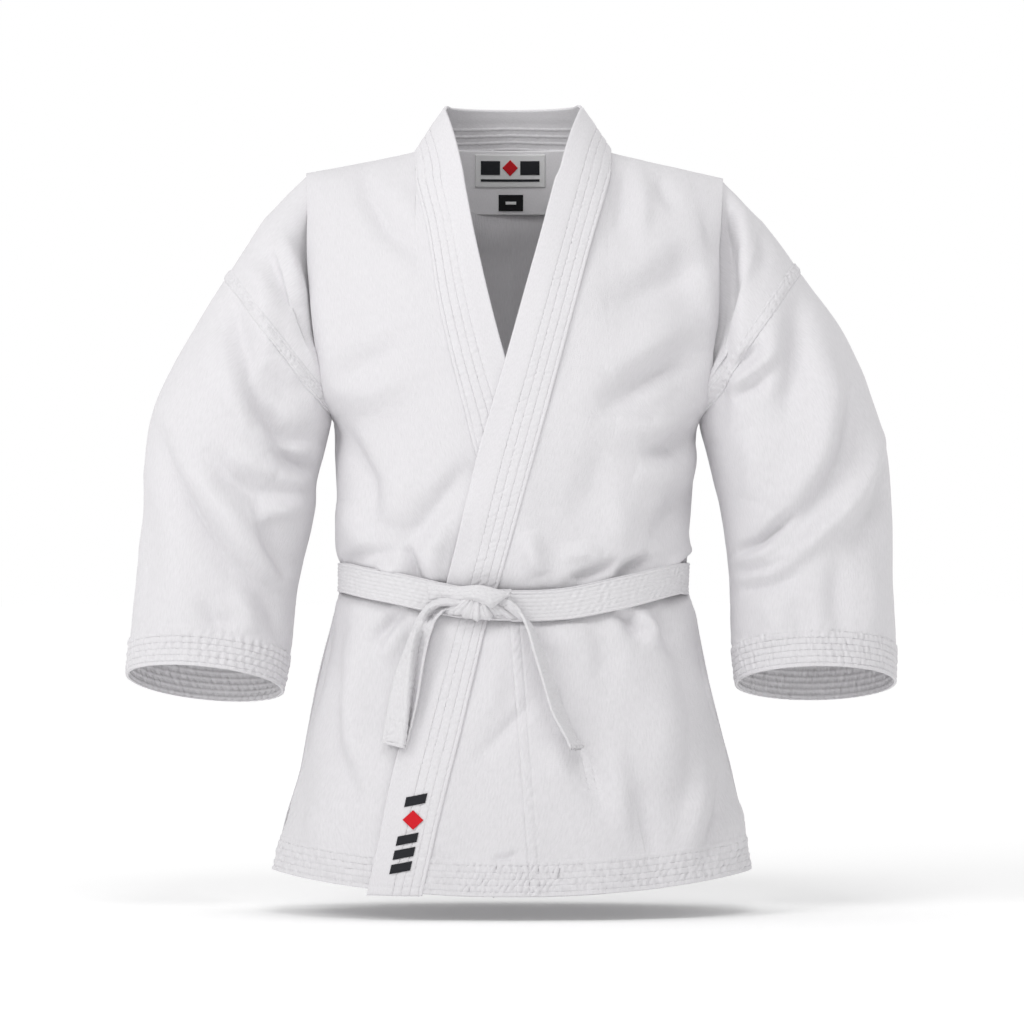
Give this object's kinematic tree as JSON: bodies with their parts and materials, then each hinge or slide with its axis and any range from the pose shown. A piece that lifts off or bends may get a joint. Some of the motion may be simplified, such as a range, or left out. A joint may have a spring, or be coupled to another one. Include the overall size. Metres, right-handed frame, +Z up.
{
  "type": "martial arts jacket",
  "caption": "White wrap-front martial arts jacket with wide stitched lapels, drop-shoulder sleeves, side vents and a knotted fabric belt.",
  "frame": {"origin": "level with the top of the shoulders, at the middle of the neck, where the jacket hangs on its wearer", "axes": "+Z up, the front faces -Y, the wearer's left is +X"},
  "size_m": [0.809, 0.3204, 0.8269],
  "materials": {
    "jacket": "white cotton canvas with a fine upright rib",
    "lapel": "white quilted cotton with stitched rows",
    "belt": "white cotton with lengthwise stitched rows",
    "lining": "white plain cotton",
    "tie": "white cotton tape",
    "label": null,
    "tab": "black woven tab",
    "mark": "charcoal embroidery with a red diamond"
  },
  "bodies": {
    "jacket": {"back_centre_seam": "jacket", "back_collar": "lapel", "belt_inner_turn": "belt", "belt_knot": "belt", "belt_knot_band": "belt", "belt_outer_turn": "belt", "inner_tie_front": "tie", "inner_tie_side": "tie", "left_armhole_band": "jacket", "left_back_panel": "jacket", "left_front_extension": "jacket", "left_front_panel": "jacket", "left_gusset": "jacket", "left_shoulder_cap": "jacket", "left_upper_sleeve": "jacket", "neck_label": "label", "neck_lining": "lining", "outer_tie": "tie", "over_lapel": "lapel", "right_armhole_band": "jacket", "right_back_panel": "jacket", "right_front_extension": "jacket", "right_front_panel": "jacket", "right_gusset": "jacket", "right_shoulder_cap": "jacket", "right_upper_sleeve": "jacket", "size_tab": "tab", "under_lapel": "lapel"},
    "right_forearm_sleeve": {"right_cuff": "jacket", "right_forearm_sleeve": "jacket"},
    "left_forearm_sleeve": {"left_cuff": "jacket", "left_forearm_sleeve": "jacket"},
    "front_skirt": {"lapel_mark": "mark", "left_front_hem": "jacket", "left_front_skirt_extension": "jacket", "left_front_skirt_panel": "jacket", "left_front_vent_edge": "jacket", "over_lapel_end": "lapel", "right_front_hem": "jacket", "right_front_skirt_extension": "jacket", "right_front_skirt_panel": "jacket", "right_front_vent_edge": "jacket", "under_lapel_end": "lapel"},
    "back_skirt": {"back_hem": "jacket", "back_skirt_panel": "jacket", "left_back_vent_edge": "jacket", "right_back_vent_edge": "jacket"},
    "right_belt_tail": {"right_belt_tail": "belt", "right_belt_tip": "belt"},
    "left_belt_tail": {"left_belt_tail": "belt", "left_belt_tip": "belt"}
  },
  "joints": [
    {"name": "right_elbow_bend", "type": "hinge", "parent": "jacket", "child": "right_forearm_sleeve", "pos_m": [-0.2985, -0.0785, -0.377], "axis": [-1, 0, 0], "range_deg": [0, 45], "stiffness_Nm_per_rad": 0.12, "springref_deg": -45.84},
    {"name": "left_elbow_bend", "type": "hinge", "parent": "jacket", "child": "left_forearm_sleeve", "pos_m": [0.2985, -0.0785, -0.377], "axis": [-1, 0, 0], "range_deg": [0, 45], "stiffness_Nm_per_rad": 0.12, "springref_deg": -45.84},
    {"name": "front_skirt_swing", "type": "hinge", "parent": "jacket", "child": "front_skirt", "pos_m": [0, -0.15, -0.674], "axis": [-1, 0, 0], "range_deg": [0, 20], "stiffness_Nm_per_rad": 0.5, "springref_deg": -45.84},
    {"name": "back_skirt_swing", "type": "hinge", "parent": "jacket", "child": "back_skirt", "pos_m": [0, 0.13, -0.674], "axis": [1, 0, 0], "range_deg": [0, 20], "stiffness_Nm_per_rad": 0.3, "springref_deg": -45.84},
    {"name": "right_tail_swing", "type": "hinge", "parent": "jacket", "child": "right_belt_tail", "pos_m": [-0.061, -0.1475, -0.47], "axis": [-1, 0, 0], "range_deg": [0, 60]},
    {"name": "left_tail_swing", "type": "hinge", "parent": "jacket", "child": "left_belt_tail", "pos_m": [-0.003, -0.1475, -0.471], "axis": [-1, 0, 0], "range_deg": [0, 60]}
  ]
}
